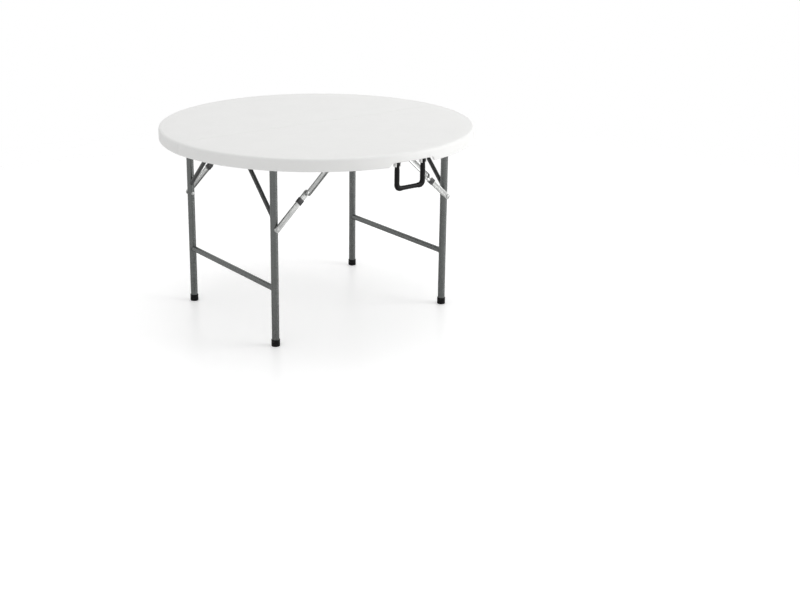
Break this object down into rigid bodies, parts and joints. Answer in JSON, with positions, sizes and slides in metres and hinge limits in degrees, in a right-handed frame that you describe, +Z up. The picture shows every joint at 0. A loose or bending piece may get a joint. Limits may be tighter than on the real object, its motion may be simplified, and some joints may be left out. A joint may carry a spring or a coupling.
{
  "type": "folding garden table",
  "caption": "Round folding table with a white moulded top in two halves, folding steel leg frames with braces and a carry handle.",
  "frame": {"origin": "on the floor under the centre of the round top", "axes": "+Z up, +X along the fold line, -Y towards the carry handle"},
  "size_m": [1.22, 1.2199, 0.74],
  "materials": {
    "hdpe": "fine-grained white polyethylene",
    "black_plastic": "satin black",
    "grey_plastic": "satin dark grey",
    "grey_tube": "grey powder coat",
    "dark_stay": "dark powder coat",
    "zinc": "bright zinc plate"
  },
  "bodies": {
    "top": {"top_half_front": "hdpe", "top_half_rear": "hdpe", "hinge_leaves_front": "zinc", "hinge_leaves_rear": "zinc", "hinge_pins": "zinc", "rail_front": "grey_tube", "rail_rear": "grey_tube", "bearing_blocks_left": "grey_plastic", "bearing_blocks_right": "grey_plastic", "bearing_plates_left": "zinc", "bearing_plates_right": "zinc", "brace_brackets_left": "zinc", "brace_brackets_right": "zinc", "anchor_rivets_left": "zinc", "anchor_rivets_right": "zinc", "handle_lugs": "hdpe", "handle_pins": "zinc", "panel_screws": "zinc"},
    "handle": {"handle": "black_plastic"},
    "left_frame": {"leg_front_left": "grey_tube", "leg_rear_left": "grey_tube", "pivot_tube_front_left": "grey_tube", "pivot_tube_rear_left": "grey_tube", "stay_front_left": "dark_stay", "stay_rear_left": "dark_stay", "stretcher_left": "grey_tube", "foot_cap_front_left": "black_plastic", "foot_cap_rear_left": "black_plastic", "leg_pins_left": "zinc"},
    "right_frame": {"leg_front_right": "grey_tube", "leg_rear_right": "grey_tube", "pivot_tube_front_right": "grey_tube", "pivot_tube_rear_right": "grey_tube", "stay_front_right": "dark_stay", "stay_rear_right": "dark_stay", "stretcher_right": "grey_tube", "foot_cap_front_right": "black_plastic", "foot_cap_rear_right": "black_plastic", "leg_pins_right": "zinc"},
    "lower_link_front_left": {"lower_link_front_left": "zinc", "lower_rivet_front_left": "zinc"},
    "upper_link_front_left": {"upper_link_front_left": "zinc", "upper_rivet_front_left": "zinc"},
    "lock_sleeve_front_left": {"lock_sleeve_front_left": "black_plastic"},
    "lower_link_rear_left": {"lower_link_rear_left": "zinc", "lower_rivet_rear_left": "zinc"},
    "upper_link_rear_left": {"upper_link_rear_left": "zinc", "upper_rivet_rear_left": "zinc"},
    "lock_sleeve_rear_left": {"lock_sleeve_rear_left": "black_plastic"},
    "lower_link_front_right": {"lower_link_front_right": "zinc", "lower_rivet_front_right": "zinc"},
    "upper_link_front_right": {"upper_link_front_right": "zinc", "upper_rivet_front_right": "zinc"},
    "lock_sleeve_front_right": {"lock_sleeve_front_right": "black_plastic"},
    "lower_link_rear_right": {"lower_link_rear_right": "zinc", "lower_rivet_rear_right": "zinc"},
    "upper_link_rear_right": {"upper_link_rear_right": "zinc", "upper_rivet_rear_right": "zinc"},
    "lock_sleeve_rear_right": {"lock_sleeve_rear_right": "black_plastic"}
  },
  "joints": [
    {"name": "left_frame_fold", "type": "hinge", "parent": "top", "child": "left_frame", "pos_m": [-0.396, 0, 0.7025], "axis": [0, -1, 0], "range_deg": [0, 90]},
    {"name": "right_frame_fold", "type": "hinge", "parent": "top", "child": "right_frame", "pos_m": [0.396, 0, 0.6705], "axis": [0, 1, 0], "range_deg": [0, 90]},
    {"name": "lower_link_front_left_turn", "type": "hinge", "parent": "left_frame", "child": "lower_link_front_left", "pos_m": [-0.396, -0.3215, 0.451], "axis": [0, -1, 0], "range_deg": [0, 47.09]},
    {"name": "upper_link_front_left_turn", "type": "hinge", "parent": "top", "child": "upper_link_front_left", "pos_m": [-0.1255, -0.3215, 0.7025], "axis": [0, 1, 0], "range_deg": [0, 42.92]},
    {"name": "lock_sleeve_front_left_slide", "type": "slide", "parent": "lower_link_front_left", "child": "lock_sleeve_front_left", "axis": [0.7324, 0, 0.6809], "range_m": [0, 0.024]},
    {"name": "lower_link_rear_left_turn", "type": "hinge", "parent": "left_frame", "child": "lower_link_rear_left", "pos_m": [-0.396, 0.3215, 0.451], "axis": [0, -1, 0], "range_deg": [0, 47.09]},
    {"name": "upper_link_rear_left_turn", "type": "hinge", "parent": "top", "child": "upper_link_rear_left", "pos_m": [-0.1255, 0.3215, 0.7025], "axis": [0, 1, 0], "range_deg": [0, 42.92]},
    {"name": "lock_sleeve_rear_left_slide", "type": "slide", "parent": "lower_link_rear_left", "child": "lock_sleeve_rear_left", "axis": [0.7324, 0, 0.6809], "range_m": [0, 0.024]},
    {"name": "lower_link_front_right_turn", "type": "hinge", "parent": "right_frame", "child": "lower_link_front_right", "pos_m": [0.396, -0.3215, 0.451], "axis": [0, 1, 0], "range_deg": [0, 47.38]},
    {"name": "upper_link_front_right_turn", "type": "hinge", "parent": "top", "child": "upper_link_front_right", "pos_m": [0.1575, -0.3215, 0.6705], "axis": [0, -1, 0], "range_deg": [0, 42.62]},
    {"name": "lock_sleeve_front_right_slide", "type": "slide", "parent": "lower_link_front_right", "child": "lock_sleeve_front_right", "axis": [-0.7358, 0, 0.6772], "range_m": [0, 0.024]},
    {"name": "lower_link_rear_right_turn", "type": "hinge", "parent": "right_frame", "child": "lower_link_rear_right", "pos_m": [0.396, 0.3215, 0.451], "axis": [0, 1, 0], "range_deg": [0, 47.38]},
    {"name": "upper_link_rear_right_turn", "type": "hinge", "parent": "top", "child": "upper_link_rear_right", "pos_m": [0.1575, 0.3215, 0.6705], "axis": [0, -1, 0], "range_deg": [0, 42.62]},
    {"name": "lock_sleeve_rear_right_slide", "type": "slide", "parent": "lower_link_rear_right", "child": "lock_sleeve_rear_right", "axis": [-0.7358, 0, 0.6772], "range_m": [0, 0.024]},
    {"name": "handle_swing", "type": "hinge", "parent": "top", "child": "handle", "pos_m": [0, -0.585, 0.6975], "axis": [-1, 0, 0], "range_deg": [-80, 90]}
  ],
  "couplings": [
    {"joint": "lower_link_front_left_turn", "follows": "left_frame_fold", "ratio": 0.52316},
    {"joint": "upper_link_front_left_turn", "follows": "left_frame_fold", "ratio": 0.47684},
    {"joint": "lower_link_rear_left_turn", "follows": "left_frame_fold", "ratio": 0.52316},
    {"joint": "upper_link_rear_left_turn", "follows": "left_frame_fold", "ratio": 0.47684},
    {"joint": "lower_link_front_right_turn", "follows": "right_frame_fold", "ratio": 0.52639},
    {"joint": "upper_link_front_right_turn", "follows": "right_frame_fold", "ratio": 0.4736},
    {"joint": "lower_link_rear_right_turn", "follows": "right_frame_fold", "ratio": 0.52639},
    {"joint": "upper_link_rear_right_turn", "follows": "right_frame_fold", "ratio": 0.4736}
  ]
}
